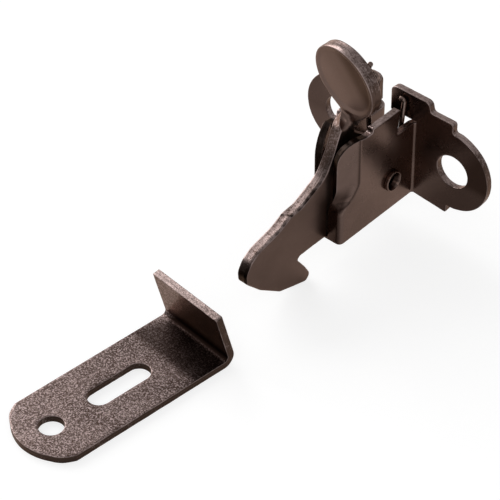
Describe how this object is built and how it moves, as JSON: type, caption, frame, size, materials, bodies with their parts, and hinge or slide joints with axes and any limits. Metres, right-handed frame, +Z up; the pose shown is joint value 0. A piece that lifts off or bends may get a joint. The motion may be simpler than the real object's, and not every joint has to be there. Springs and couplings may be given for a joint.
{
  "type": "elbow catch",
  "caption": "Sprung elbow catch for a cabinet door: folded bracket, pivoting hook lever with a twisted thumb disc, and a separate angle strike.",
  "frame": {"origin": "midway between the two screw holes, on the back face of the ears that lies on the door", "axes": "+X to the right ear seen from the front, +Y into the door, +Z up; the hook lever reaches forward along -Y"},
  "size_m": [0.0396, 0.0859, 0.044],
  "materials": {
    "bracket_bronze": "dark oil-rubbed bronze plating, satin, worn pale on the sheared edges",
    "lever_bronze": "dark oil-rubbed bronze plating, satin, worn pale on the sheared edges",
    "rivet_bronze": "dark bronze plating, satin",
    "spring_wire": "dark bronze plated spring wire",
    "strike_bronze": "dark oil-rubbed bronze plating, rubbed and speckled"
  },
  "bodies": {
    "bracket_body": {"bracket": "bracket_bronze", "pivot_rivet": "rivet_bronze", "torsion_spring": "spring_wire", "strike": "strike_bronze"},
    "lever_body": {"lever": "lever_bronze"}
  },
  "joints": [
    {"name": "lever_pivot", "type": "hinge", "parent": "bracket_body", "child": "lever_body", "pos_m": [0, -0.00715, -0.0026], "axis": [-1, 0, 0], "range_deg": [0, 22], "stiffness_Nm_per_rad": 0.03, "springref_deg": -28.65, "deforming": ["torsion_spring"]}
  ]
}
